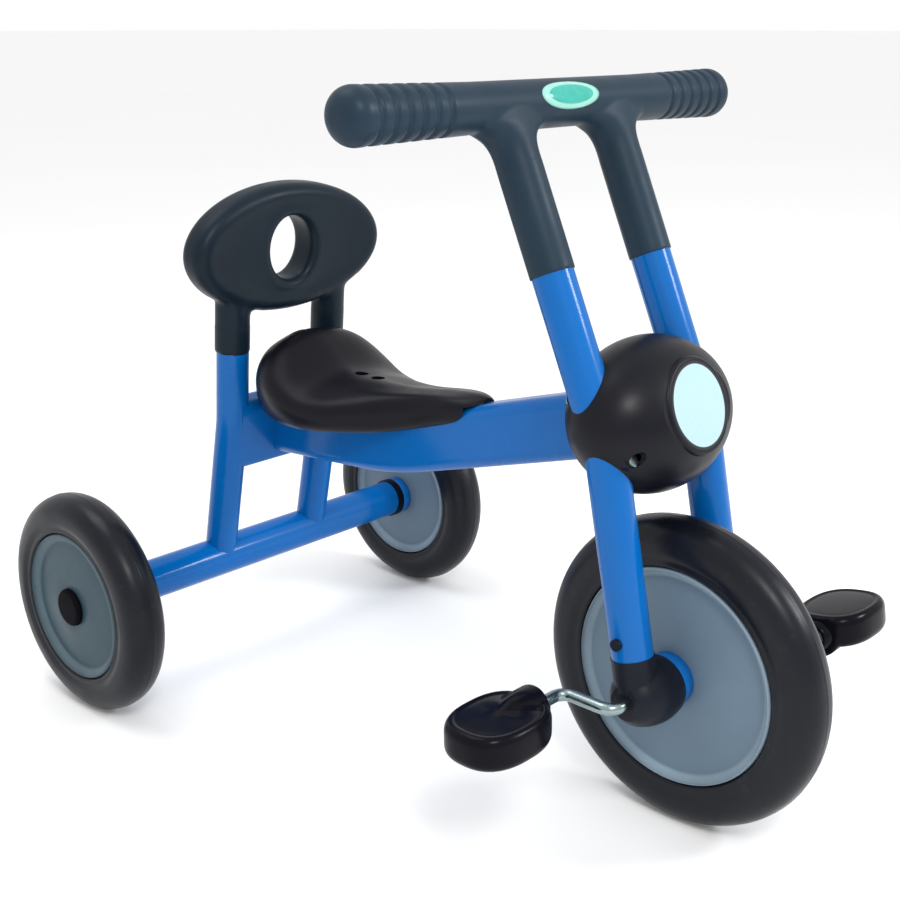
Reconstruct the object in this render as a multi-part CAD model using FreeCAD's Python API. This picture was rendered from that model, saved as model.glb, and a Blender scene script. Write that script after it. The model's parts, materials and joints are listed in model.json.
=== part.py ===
import FreeCAD, Part
import math
import os

# A children's pedal tricycle, one solid per piece, in millimetres.
# +Z is up, -Y is forward, +X is the rider's left. The origin is on the ground, at the
# centre of the tricycle's footprint.

Vector = FreeCAD.Vector
SIDES = (("left", 1), ("right", -1))

# ---- Wheels and overall layout -------------------------------------------------------
overall_length = 620.0
track = 341.0
rear_radius = 85.0
rear_half_width = 16.4
rear_disc_radius = 57.0
rear_face = 14.8
front_radius = 105.0
front_half_width = 17.0
front_disc_radius = 74.0
front_face = 15.2
rim_wall = 3.0
face_thickness = 2.6
rim_lip_width = 2.4
rim_lip_height = 0.9
tyre_bead = 1.2
tyre_shoulder_share = 0.78
tyre_shoulder_width = 0.8
tyre_bulge_share = 0.45

rear_axle_y = overall_length / 2 - rear_radius
front_axle_y = front_radius - overall_length / 2
rear_axle = Vector(0, rear_axle_y, rear_radius)
front_axle = Vector(0, front_axle_y, front_radius)
wheel_x = track / 2

# ---- Clearances ----------------------------------------------------------------------
running_fit = 0.05
side_play = 0.5

# ---- Steel tube ----------------------------------------------------------------------
fork_tube_radius = 13.4
upright_radius = 12.5
tube_wall = 2.0
fork_tube_bore = fork_tube_radius - tube_wall

# ---- Steering fork -------------------------------------------------------------------
fork_spacing = 100.0
leg_tilt = 10.5
leg_length = 161.6
leg_end_rise = 27.0
riser_tilt = 23.1
riser_length = 213.3
fork_bend_radius = 70.0
steering_tilt = 18.0
head_offset = 20.0
head_rise = 9.0

# ---- Steering head -------------------------------------------------------------------
head_tube_radius = 15.0
head_tube_length = 49.0
head_tube_wall = 3.0
head_bush_depth = 10.4
bush_flange = 2.0
bush_flange_radius = 14.0
crown_thickness = 3.0
crown_half_depth = 9.0
steering_bolt_radius = 4.0
bolt_head_flats = 13.0
bolt_head_height = 4.5
steering_limit = 40.0

# ---- Head cover, the black ball round the steering head -------------------------------
cover_half_width = 66.0
cover_half_depth = 43.5
cover_half_height = 50.0
cover_wall = 3.0
bezel_radius = 31.0
bezel_front = 38.5
bezel_back = 20.0
bezel_round = 2.5
disc_radius = 27.5
disc_thickness = 1.4
slot_clearance = 4.0
cover_screw_height = 21.0
cover_screw_wall = 3.6
cover_screw_seat = fork_tube_radius + cover_screw_wall
cover_screw_boss = 2.0
cover_screw_pocket_fit = 0.4
cover_screw_depth = 6.3

# ---- Handlebar -----------------------------------------------------------------------
bar_half_length = 182.0
bar_overhang = 1.9
bar_radius = fork_tube_radius + bar_overhang
grip_swell = 1.9
grip_radius = bar_radius + grip_swell
grip_start = 78.0
bar_end_round = 13.0
bar_core_radius = 11.0
bar_core_half_length = 168.0
sleeve_wall = 0.9
sleeve_length = 105.8
sleeve_blend = 13.0
sleeve_edge_margin = 2.0
groove_count = 6
groove_pitch = 11.0
groove_radius = 2.2
groove_lift = 0.66
groove_first = 22.0
badge_half_width = 19.0
badge_half_height = 8.5
badge_thickness = 0.9
badge_tilt = 38.0

# ---- Main beam, cross member, uprights, rear axle -------------------------------------
beam_width = 30.0
beam_height = 44.2
beam_drop = 1.9
beam_corner = 9.0
beam_wall = 2.0
beam_front_slope = 15.6
beam_rear_slope = 3.7
beam_bend_radius = 320.0
upright_spacing = 96.0
upright_lower_tilt = 13.0
upright_upper_tilt = 6.0
upright_bend_height = 207.0
upright_bend_radius = 60.0
upright_top = 331.0
cross_height = 59.0
cross_thickness = 25.0
cross_corner = 9.0
cross_centre_height = 195.5
axle_tube_radius = 15.6
axle_tube_wall = 2.0
axle_radius = 6.0

# ---- Backrest ------------------------------------------------------------------------
backrest_half_width = 90.5
backrest_half_height = 50.0
backrest_thickness = 24.0
backrest_curve = 1250.0
backrest_sleeve_wall = 1.0
backrest_round = 10.0
backrest_centre = 342.0
backrest_sleeve_end = 264.0
hand_hole_half_width = 20.5
hand_hole_half_height = 25.0
hand_hole_round = 4.0
backrest_screw_height = 300.0

# ---- Seat ----------------------------------------------------------------------------
seat_wall = 4.5
seat_boss_radius = 8.5
seat_screw_y = (96.5, 78.5)
seat_recess = 5.2
seat_back_gap = 1.0
seat_top_reach = 60.0
seat_skirt_front = -24.0
seat_channel_depth = 60.0
seat_channel_fit = 0.3

# ---- Rear hubs -----------------------------------------------------------------------
wheel_bush_wall = 3.0
hub_wall = 4.0
hub_reach = 6.0
hub_flange_radius = 20.0
hub_flange_depth = 8.0
hub_flange_neck = 16.0
axle_bush_radius = 17.0
axle_bush_flange = 6.0
axle_bush_plug = 16.0
push_nut_radius = 10.0
push_nut_thickness = 2.5
hub_cap_radius = 14.5
hub_cap_height = 4.0
hub_cap_skirt = 5.0
hub_cap_wall = 1.5
hub_cap_round = 3.0
axle_end_gap = 2.0

# ---- Front hub, crank and pedals -----------------------------------------------------
crank_radius = 4.0
crank_arm = 40.0
crank_arm_x = 76.0
crank_bend_radius = 9.0
crank_bush_wall = 3.0
front_hub_radius = 12.0
front_flange_radius = 23.0
front_flange_neck = 20.0
front_flange_rim = 3.0
front_flange_end = 26.0
housing_start = 26.5
housing_end = 63.5
housing_radius = 21.5
housing_tip_radius = 11.0
housing_chamfer = 1.5
housing_belly_x = 40.0
housing_shoulder_x = 53.0
housing_shoulder_drop = 3.0
housing_nose_x = 59.0
housing_nose_drop = 6.0
housing_neck_radius = 14.0
housing_plug = 22.0
housing_screw_rise = 12.0
drive_pin_radius = 2.0
drive_pin_half_length = 10.0
pedal_inner = 104.0
pedal_outer = 170.0
pedal_half_width = 27.0
pedal_half_thickness = 12.3
pedal_corner = 25.5
pedal_round = 7.0
pedal_boss_radius = 13.6
pedal_boss_length = 6.0
pedal_bore_fit = 0.06
pedal_recess_radius = 8.5
pedal_recess_depth = 8.0
crank_end = 167.0
retainer_radius = 7.0
retainer_thickness = 2.0

# ---- Small screws --------------------------------------------------------------------
screw_radius = 2.0
screw_head_radius = 3.8
screw_head_height = 2.4
seat_screw_radius = 2.5
seat_screw_head_radius = 4.7
seat_screw_head_height = 2.8
seat_screw_grip = 14.0


# ---- Helpers -------------------------------------------------------------------------
def rod(start, end, radius):
    axis = end - start
    return Part.makeCylinder(radius, axis.Length, start, axis)


def x_rod(start_x, end_x, radius, centre=Vector(0, 0, 0)):
    """A cylinder along X through centre, from start_x to end_x."""
    low = min(start_x, end_x)
    return Part.makeCylinder(radius, abs(end_x - start_x), centre + Vector(low, 0, 0), Vector(1, 0, 0))


def x_ring(start_x, end_x, outer, inner, centre=Vector(0, 0, 0)):
    return x_rod(start_x, end_x, outer, centre).cut(x_rod(start_x, end_x, inner, centre))


def mirrored(shape):
    return shape.mirror(Vector(0, 0, 0), Vector(1, 0, 0))


def sided(shape, side):
    """A shape built on the left, or its mirror image on the right."""
    return shape if side > 0 else mirrored(shape)


def leaning(angle):
    """The unit vector that leans rearward from upright by angle degrees."""
    return Vector(0, math.sin(math.radians(angle)), math.cos(math.radians(angle)))


def bent_path(points, bend_radius):
    """Straight runs through the points, joined by tangent arcs."""
    edges = []
    cursor = points[0]
    for before, corner, after in zip(points, points[1:], points[2:]):
        into = (corner - before).normalize()
        out = (after - corner).normalize()
        half_turn = into.getAngle(out) / 2
        setback = bend_radius * math.tan(half_turn)
        arc_start = corner - into * setback
        arc_end = corner + out * setback
        inward = (out - into).normalize()
        arc_middle = corner + inward * (bend_radius / math.cos(half_turn) - bend_radius)
        edges.append(Part.LineSegment(cursor, arc_start).toShape())
        edges.append(Part.Arc(arc_start, arc_middle, arc_end).toShape())
        cursor = arc_end
    edges.append(Part.LineSegment(cursor, points[-1]).toShape())
    return Part.Wire(edges)


def bent_rod(points, bend_radius, radius):
    direction = points[1] - points[0]
    profile = Part.Wire(Part.makeCircle(radius, points[0], direction))
    return bent_path(points, bend_radius).makePipeShell([profile], True, False)


def rounded_rectangle(centre, across, along, half_across, half_along, corner):
    """A closed wire with four round corners, in the plane of two unit vectors."""
    flat_across = half_across - corner
    flat_along = half_along - corner
    edges = []
    ends = []
    for turn in range(4):
        start_angle = math.radians(90 * turn)
        sign_across = 1 if turn in (0, 3) else -1
        sign_along = 1 if turn in (0, 1) else -1
        middle = centre + across * (sign_across * flat_across) + along * (sign_along * flat_along)
        arc_points = []
        for step in (0, 1, 2):
            angle = start_angle + math.radians(45 * step)
            offset = across * math.cos(angle) + along * math.sin(angle)
            arc_points.append(middle + offset * corner)
        if ends:
            edges.append(Part.LineSegment(ends[-1], arc_points[0]).toShape())
        edges.append(Part.Arc(*arc_points).toShape())
        ends.extend((arc_points[0], arc_points[2]))
    edges.append(Part.LineSegment(ends[-1], ends[0]).toShape())
    return Part.Wire(edges)


def box_beam(points, bend_radius, half_width, half_height, corner):
    """A rounded rectangle swept along a path that lies in the YZ plane."""
    direction = (points[1] - points[0]).normalize()
    across = Vector(1, 0, 0)
    upward = across.cross(direction)
    profile = rounded_rectangle(points[0], across, upward, half_width, half_height, corner)
    return bent_path(points, bend_radius).makePipeShell([profile], True, False)


def revolved(outline, centre):
    """Turn a closed outline of (x, radius) points about the X axis. A group of three joined by an
    arc is written as ("arc", middle, end)."""
    edges = []
    cursor = Vector(outline[0][0], 0, outline[0][1])
    first = cursor
    for item in outline[1:]:
        if item[0] == "arc":
            middle = Vector(item[1][0], 0, item[1][1])
            end = Vector(item[2][0], 0, item[2][1])
            edges.append(Part.Arc(cursor, middle, end).toShape())
        else:
            end = Vector(item[0], 0, item[1])
            edges.append(Part.LineSegment(cursor, end).toShape())
        cursor = end
    edges.append(Part.LineSegment(cursor, first).toShape())
    solid = Part.Face(Part.Wire(edges)).revolve(Vector(0, 0, 0), Vector(1, 0, 0), 360)
    solid.translate(centre)
    return solid


def hexagon(flats, height, base, direction):
    """A hexagonal prism that stands on base."""
    corner = flats / math.sqrt(3)
    points = []
    for index in range(7):
        angle = math.radians(60 * index)
        points.append(Vector(corner * math.cos(angle), corner * math.sin(angle), 0))
    prism = Part.Face(Part.makePolygon(points)).extrude(Vector(0, 0, height))
    prism.Placement = FreeCAD.Placement(base, FreeCAD.Rotation(Vector(0, 0, 1), direction))
    return prism


def export(name, *solids):
    """Write one node, as one solid or as a group of separate solids."""
    pieces = []
    for solid in solids:
        pieces.extend(solid.Solids)
    shape = pieces[0] if len(pieces) == 1 else Part.makeCompound(pieces)
    shape.exportStep("parts/" + name + ".step")
    print(name, len(pieces), round(sum(piece.Volume for piece in pieces)), shape.isValid())


# ---- Key points ----------------------------------------------------------------------
fork_bend = front_axle + leaning(leg_tilt) * leg_length
bar_centre = fork_bend + leaning(riser_tilt) * riser_length
steering_up = leaning(steering_tilt)
steering_back = Vector(0, steering_up.z, -steering_up.y)
head_centre = fork_bend + steering_up * head_rise + steering_back * head_offset
cover_centre = fork_bend + steering_up * head_rise
beam_nose = head_centre - Vector(0, 0, beam_drop)

upright_bend = rear_axle + leaning(-upright_lower_tilt) * (
    (upright_bend_height - rear_radius) / math.cos(math.radians(upright_lower_tilt))
)
upright_end = upright_bend + leaning(-upright_upper_tilt) * (
    (upright_top - upright_bend_height) / math.cos(math.radians(upright_upper_tilt))
)


def upright_point(height):
    """The point at a height on the centre line of the uprights' upper part, in the middle plane."""
    share = (height - upright_bend.z) / (upright_end.z - upright_bend.z)
    return upright_bend + (upright_end - upright_bend) * share


cross_centre = rear_axle + leaning(-upright_lower_tilt) * (
    (cross_centre_height - rear_radius) / math.cos(math.radians(upright_lower_tilt))
)

front_fall = math.tan(math.radians(beam_front_slope))
rear_fall = math.tan(math.radians(beam_rear_slope))
beam_bend_y = (beam_nose.z - cross_centre.z + front_fall * beam_nose.y - rear_fall * cross_centre.y) / (
    front_fall - rear_fall
)
beam_bend = Vector(0, beam_bend_y, cross_centre.z + rear_fall * (cross_centre.y - beam_bend_y))


beam_half_turn = math.radians((beam_front_slope - beam_rear_slope) / 2)
beam_arc_centre = beam_bend + leaning((beam_front_slope + beam_rear_slope) / 2) * (
    beam_bend_radius / math.cos(beam_half_turn)
)
beam_top_radius = beam_bend_radius - beam_height / 2


def beam_top_touch(slope):
    """The point of the beam's upper face where it falls rearward by slope degrees, within its bend."""
    return beam_arc_centre - leaning(slope) * beam_top_radius


def beam_top(y):
    """The height of the beam's upper face in the middle plane."""
    share = max(-1.0, min(1.0, (beam_arc_centre.y - y) / beam_top_radius))
    slope = max(beam_rear_slope, min(beam_front_slope, math.degrees(math.asin(share))))
    touch = beam_top_touch(slope)
    return touch.z - math.tan(math.radians(slope)) * (y - touch.y)


head_placement = FreeCAD.Placement(cover_centre, FreeCAD.Rotation(Vector(1, 0, 0), -steering_tilt))
backrest_placement = FreeCAD.Placement(
    upright_point(backrest_centre), FreeCAD.Rotation(Vector(1, 0, 0), upright_upper_tilt)
)


def at_head(shape):
    """From the head cover's own axes (X, rearward, up the steering axis) to the tricycle's."""
    return shape.transformed(head_placement.toMatrix())


def at_backrest(shape):
    return shape.transformed(backrest_placement.toMatrix())


# ---- Solid envelopes of the tubes, used for the pieces and for what fits on them -------
def fork_tube_envelope(side, radius):
    shift = Vector(side * fork_spacing / 2, 0, 0)
    leg_end = front_axle + leaning(leg_tilt) * leg_end_rise
    return bent_rod([leg_end + shift, fork_bend + shift, bar_centre + shift], fork_bend_radius, radius)


def upright_envelope(side, radius):
    shift = Vector(side * upright_spacing / 2, 0, 0)
    points = [rear_axle + shift, upright_bend + shift, upright_end + shift]
    return bent_rod(points, upright_bend_radius, radius)


beam_start = beam_nose + (beam_bend - beam_nose).normalize() * (head_tube_radius / 2)
beam_points = [beam_start, beam_bend, cross_centre]
beam_outer = box_beam(beam_points, beam_bend_radius, beam_width / 2, beam_height / 2, beam_corner)
beam_inner = box_beam(
    beam_points,
    beam_bend_radius,
    beam_width / 2 - beam_wall,
    beam_height / 2 - beam_wall,
    beam_corner - beam_wall,
)
head_half_axis = steering_up * (head_tube_length / 2)
head_envelope = rod(head_centre - head_half_axis, head_centre + head_half_axis, head_tube_radius)
axle_tube_end = wheel_x - rear_face - hub_flange_depth - side_play - axle_bush_flange
axle_tube_outer = x_rod(-axle_tube_end, axle_tube_end, axle_tube_radius, rear_axle)
axle_tube_inner = x_rod(-axle_tube_end, axle_tube_end, axle_tube_radius - axle_tube_wall, rear_axle)
upright_outers = {side: upright_envelope(side, upright_radius) for name, side in SIDES}
fork_outers = {side: fork_tube_envelope(side, fork_tube_radius) for name, side in SIDES}


def cross_member_envelope(inset):
    upward = leaning(-upright_lower_tilt)
    forward = Vector(0, -upward.z, upward.y)
    half_span = Vector(upright_spacing / 2, 0, 0)
    profile = rounded_rectangle(
        cross_centre - half_span,
        forward,
        upward,
        cross_thickness / 2 - inset,
        cross_height / 2 - inset,
        cross_corner - inset,
    )
    return Part.Face(profile).extrude(half_span * 2)


# ---- Frame ---------------------------------------------------------------------------
def make_frame():
    cross_outer = cross_member_envelope(0)
    head_inner = rod(
        head_centre - head_half_axis, head_centre + head_half_axis, head_tube_radius - head_tube_wall
    )
    beam = beam_outer.cut(beam_inner).cut(head_envelope).cut(cross_outer)
    for screw_y in seat_screw_y:
        beam = beam.cut(seat_screw_shank(screw_y))
    cross = cross_outer.cut(cross_member_envelope(beam_wall))
    for name, side in SIDES:
        cross = cross.cut(upright_outers[side])
        upright = upright_outers[side].cut(upright_envelope(side, upright_radius - tube_wall))
        upright = upright.cut(axle_tube_outer).cut(backrest_screw(side))
        export("upright_" + name, upright)
    export("main_beam", beam)
    export("cross_member", cross)
    export("head_tube", head_envelope.cut(head_inner))
    export("rear_axle_tube", axle_tube_outer.cut(axle_tube_inner))


# ---- Rear axle and wheels ------------------------------------------------------------
def tyre(half_width, radius, rim_radius, face, centre):
    """A plain round tyre that grips the rim between its two beads."""
    depth = radius - rim_radius
    shoulder = rim_radius + tyre_shoulder_share * depth
    bulge = rim_radius + tyre_bulge_share * depth
    shoulder_x = half_width * tyre_shoulder_width
    outline = [
        (-face + tyre_bead, rim_radius),
        ("arc", (-half_width, bulge), (-shoulder_x, shoulder)),
        ("arc", (0, radius), (shoulder_x, shoulder)),
        ("arc", (half_width, bulge), (face - tyre_bead, rim_radius)),
    ]
    return revolved(outline, centre)


def disc_half(face, rim_radius, bore, hub_outer, hub_end, centre):
    """One moulded half of a wheel disc, on the +X side of the wheel's middle plane."""
    inside = face - face_thickness
    lip = rim_radius - rim_lip_width
    outline = [
        (0, rim_radius - rim_wall),
        (inside, rim_radius - rim_wall),
        (inside, hub_outer),
        (hub_end, hub_outer),
        (hub_end, bore),
        (face, bore),
        (face, lip),
        ("arc", (face + rim_lip_height, lip + rim_lip_width / 2), (face, rim_radius)),
        (0, rim_radius),
    ]
    return revolved(outline, centre)


def make_rear_axle():
    rod_end = wheel_x + hub_reach + side_play + push_nut_thickness + axle_end_gap
    export("rear_axle_rod", x_rod(-rod_end, rod_end, axle_radius, rear_axle))
    push_nuts = []
    for name, side in SIDES:
        flange_end = axle_tube_end + axle_bush_flange
        flange = x_ring(axle_tube_end, flange_end, axle_bush_radius, axle_radius, rear_axle)
        plug_radius = axle_tube_radius - axle_tube_wall
        plug = x_ring(axle_tube_end - axle_bush_plug, axle_tube_end, plug_radius, axle_radius, rear_axle)
        export("axle_bush_" + name, sided(flange.fuse(plug).removeSplitter(), side))
        nut_start = wheel_x + hub_reach + side_play
        nut = x_ring(nut_start, nut_start + push_nut_thickness, push_nut_radius, axle_radius, rear_axle)
        push_nuts.append(sided(nut, side))
    export("axle_push_nuts", *push_nuts)


def make_rear_wheels():
    centre = rear_axle + Vector(wheel_x, 0, 0)
    bush_radius = axle_radius + running_fit + wheel_bush_wall
    hub_radius = bush_radius + hub_wall
    bush_start = wheel_x - rear_face
    bush = x_ring(bush_start, wheel_x + hub_reach, bush_radius, axle_radius + running_fit, rear_axle)
    inner_half = disc_half(rear_face, rear_disc_radius, bush_radius, hub_radius, -hub_reach, Vector(0, 0, 0))
    inner_half = mirrored(inner_half)
    inner_half.translate(centre)
    outer_half = disc_half(
        rear_face, rear_disc_radius, hub_radius, hub_radius + rim_wall, 0, Vector(0, 0, 0)
    )
    outer_half.translate(centre)
    flange = revolved(
        [
            (-rear_face, axle_radius + side_play),
            (-rear_face, hub_flange_radius),
            (-rear_face - hub_flange_depth / 2, hub_flange_radius),
            (-rear_face - hub_flange_depth, hub_flange_neck),
            (-rear_face - hub_flange_depth, axle_radius + side_play),
        ],
        centre,
    )
    cap_start = wheel_x + rear_face
    cap = x_rod(cap_start, cap_start + hub_cap_height, hub_cap_radius, rear_axle)
    rims = [edge for edge in cap.Edges if edge.BoundBox.XMin > cap_start + hub_cap_height - 0.01]
    cap = cap.makeFillet(hub_cap_round, rims)
    skirt_bore = hub_radius - hub_cap_wall
    cap = cap.fuse(x_ring(cap_start - hub_cap_skirt, cap_start, hub_radius, skirt_bore, rear_axle))
    for name, side in SIDES:
        wheel_tyre = tyre(rear_half_width, rear_radius, rear_disc_radius, rear_face, centre)
        export("rear_tyre_" + name, sided(wheel_tyre, side))
        export("rear_disc_inner_" + name, sided(inner_half, side))
        export("rear_disc_outer_" + name, sided(outer_half, side))
        export("rear_wheel_bush_" + name, sided(bush, side))
        export("rear_hub_flange_" + name, sided(flange, side))
        export("hub_cap_" + name, sided(cap, side))


# ---- Front wheel, crank and pedals ----------------------------------------------------
def make_front_wheel():
    pin_half = Vector(0, 0, drive_pin_half_length)
    pin = rod(front_axle - pin_half, front_axle + pin_half, drive_pin_radius)
    half = disc_half(front_face, front_disc_radius, crank_radius, front_hub_radius, 0, front_axle).cut(pin)
    flange = revolved(
        [
            (front_face, crank_radius),
            (front_face, front_flange_radius),
            (front_face + front_flange_rim, front_flange_radius),
            (front_flange_end, front_flange_neck),
            (front_flange_end, crank_radius),
        ],
        front_axle,
    )
    export("front_tyre", tyre(front_half_width, front_radius, front_disc_radius, front_face, front_axle))
    for name, side in SIDES:
        export("front_disc_" + name, sided(half, side))
        export("front_hub_flange_" + name, sided(flange, side))
    arm = Vector(0, crank_arm, 0)
    points = [
        front_axle + Vector(crank_end, 0, 0) - arm,
        front_axle + Vector(crank_arm_x, 0, 0) - arm,
        front_axle + Vector(crank_arm_x, 0, 0),
        front_axle - Vector(crank_arm_x, 0, 0),
        front_axle - Vector(crank_arm_x, 0, 0) + arm,
        front_axle - Vector(crank_end, 0, 0) + arm,
    ]
    export("crankshaft", bent_rod(points, crank_bend_radius, crank_radius).cut(pin))
    export("crank_drive_pin", pin)


def pedal_centre(side):
    return front_axle - Vector(0, side * crank_arm, 0)


def make_pedals():
    stops = []
    retainers = []
    boss_inner = pedal_inner - pedal_boss_length
    for name, side in SIDES:
        centre = pedal_centre(side)
        middle = Vector((pedal_inner + pedal_outer) / 2, 0, -pedal_half_thickness)
        outline = rounded_rectangle(
            middle,
            Vector(1, 0, 0),
            Vector(0, 1, 0),
            (pedal_outer - pedal_inner) / 2,
            pedal_half_width,
            pedal_corner,
        )
        block = Part.Face(outline).extrude(Vector(0, 0, 2 * pedal_half_thickness))
        heights = [(edge, abs(edge.BoundBox.Center.z)) for edge in block.Edges]
        rims = [edge for edge, height in heights if abs(height - pedal_half_thickness) < 0.01]
        block = block.makeFillet(pedal_round, rims)
        boss = x_rod(boss_inner, pedal_inner + 2 * pedal_boss_radius, pedal_boss_radius)
        bore = x_rod(boss_inner, pedal_outer, crank_radius + pedal_bore_fit)
        recess = x_rod(pedal_outer - pedal_recess_depth, pedal_outer, pedal_recess_radius)
        pedal = sided(block.fuse(boss).cut(bore).cut(recess), side)
        pedal.translate(centre)
        export("pedal_" + name, pedal)
        stop_end = boss_inner - side_play
        stop = x_ring(stop_end - retainer_thickness, stop_end, retainer_radius, crank_radius)
        retainer_start = pedal_outer - pedal_recess_depth + side_play
        retainer = x_ring(retainer_start, retainer_start + retainer_thickness, retainer_radius, crank_radius)
        for piece, group in ((stop, stops), (retainer, retainers)):
            piece = sided(piece, side)
            piece.translate(centre)
            group.append(piece)
    export("pedal_stop_washers", *stops)
    export("pedal_push_nuts", *retainers)


# ---- Fork ----------------------------------------------------------------------------
def housing_screw(side):
    """The shank axis of the screw that holds a hub housing in its leg, from outside inward."""
    centre = front_axle + leaning(leg_tilt) * (leg_end_rise + housing_screw_rise)
    outer = fork_spacing / 2 + fork_tube_radius
    head = x_rod(outer, outer + screw_head_height, screw_head_radius, centre)
    shank = x_rod(outer - fork_tube_radius, outer, screw_radius, centre)
    return sided(head.fuse(shank), side)


def make_hub_housings():
    leg_x = Vector(fork_spacing / 2, 0, 0)
    bush_radius = crank_radius + running_fit + crank_bush_wall
    shoulder_radius = housing_radius - housing_shoulder_drop
    barrel = revolved(
        [
            (housing_start, bush_radius),
            (housing_start, housing_radius - housing_chamfer),
            ("arc", (housing_belly_x, housing_radius), (housing_shoulder_x, shoulder_radius)),
            ("arc", (housing_nose_x, housing_radius - housing_nose_drop), (housing_end, housing_tip_radius)),
            (housing_end, bush_radius),
        ],
        front_axle,
    )
    neck_end = front_axle + leaning(leg_tilt) * leg_end_rise + leg_x
    plug_end = neck_end + leaning(leg_tilt) * housing_plug
    neck = rod(front_axle + leg_x, neck_end, housing_neck_radius)
    plug = rod(neck_end, plug_end, fork_tube_bore)
    bore = x_rod(housing_start, housing_end + fork_tube_radius, bush_radius, front_axle)
    bush = x_ring(housing_start, housing_end, bush_radius, crank_radius + running_fit, front_axle)
    screws = []
    for name, side in SIDES:
        housing = sided(barrel.fuse(neck).fuse(plug).cut(bore), side)
        screw = housing_screw(side)
        export("hub_housing_" + name, housing.cut(screw))
        export("crank_bush_" + name, sided(bush, side))
        screws.append(screw)
    export("hub_housing_screws", *screws)


def cover_screw(side, facing):
    """A screw that holds one half of the head cover to a fork tube. facing is -1 at the front."""
    x = side * fork_spacing / 2
    height = facing * cover_screw_height
    seat = Vector(x, facing * cover_screw_seat, height)
    shank_end = Vector(x, facing * (cover_screw_seat - cover_screw_depth - screw_head_height), height)
    head_end = seat + Vector(0, facing * screw_head_height, 0)
    return at_head(rod(shank_end, seat, screw_radius).fuse(rod(seat, head_end, screw_head_radius)))


def ellipsoid(half_x, half_y, half_z):
    """An ellipsoid whose poles lie on Y and whose seam runs over the top."""
    origin = Vector(0, 0, 0)
    ball = Part.makeSphere(1).rotated(origin, Vector(1, 0, 0), 90).rotated(origin, Vector(0, 1, 0), 90)
    scale = FreeCAD.Matrix()
    scale.scale(half_x, half_y, half_z)
    return ball.transformGeometry(scale)


def make_head_cover():
    span = 2 * cover_half_width
    slab = Part.makeBox(2 * span, span, 2 * span)
    rear_side = slab.translated(Vector(-span, 0, -span))
    front_side = slab.translated(Vector(-span, -span, -span))
    behind_face = slab.translated(Vector(-span, -bezel_front + cover_wall, -span))
    half_sizes = (cover_half_width, cover_half_depth, cover_half_height)
    outer = ellipsoid(*half_sizes)
    inner = ellipsoid(*[size - cover_wall for size in half_sizes])
    bezel = rod(Vector(0, -bezel_back, 0), Vector(0, -bezel_front, 0), bezel_radius)
    rim = [edge for edge in bezel.Edges if edge.BoundBox.YMax < -bezel_front + 0.01]
    bezel = bezel.makeFillet(bezel_round, rim).cut(inner.common(behind_face))
    beyond_face = slab.translated(Vector(-span, -bezel_front + disc_thickness - span, -span))
    recess = rod(Vector(0, -bezel_front, 0), Vector(0, -bezel_front + disc_thickness, 0), disc_radius)
    disc = at_head(recess)
    halves = {
        -1: outer.common(front_side).cut(inner).cut(beyond_face).fuse(bezel).cut(recess),
        1: outer.common(rear_side).cut(inner).cut(beam_slot()),
    }
    screws = []
    for facing, name in ((-1, "head_cover_front"), (1, "head_cover_rear")):
        half = halves[facing]
        for side in (1, -1):
            seat = Vector(side * fork_spacing / 2, facing * cover_screw_seat, facing * cover_screw_height)
            inside = Vector(seat.x, 0, seat.z)
            outside = seat + Vector(0, facing * cover_half_depth, 0)
            half = half.fuse(rod(inside, seat, screw_head_radius + cover_screw_boss))
            half = half.cut(rod(seat, outside, screw_head_radius + cover_screw_pocket_fit))
        half = at_head(half)
        for side in (1, -1):
            half = half.cut(fork_outers[side]).cut(cover_screw(side, facing))
            screws.append(cover_screw(side, facing))
        export(name, half)
    export("head_cover_disc", disc)
    export("head_cover_screws", *screws)


def beam_slot():
    """The opening that the beam passes through, as wide as it swings, in the cover's own axes."""
    half_width = beam_width / 2 + slot_clearance
    half_height = beam_height / 2 + slot_clearance
    reach = 2 * cover_half_depth
    limit = math.radians(steering_limit)
    points = []
    for side in (1, -1):
        for along in (0, reach) if side > 0 else (reach, 0):
            x = half_width * math.cos(limit) + along * math.sin(limit)
            y = head_offset - half_width * math.sin(limit) + along * math.cos(limit)
            points.append(Vector(side * x, y, -half_height))
    points.append(points[0])
    return Part.Face(Part.makePolygon(points)).extrude(Vector(0, 0, 2 * half_height))


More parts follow.
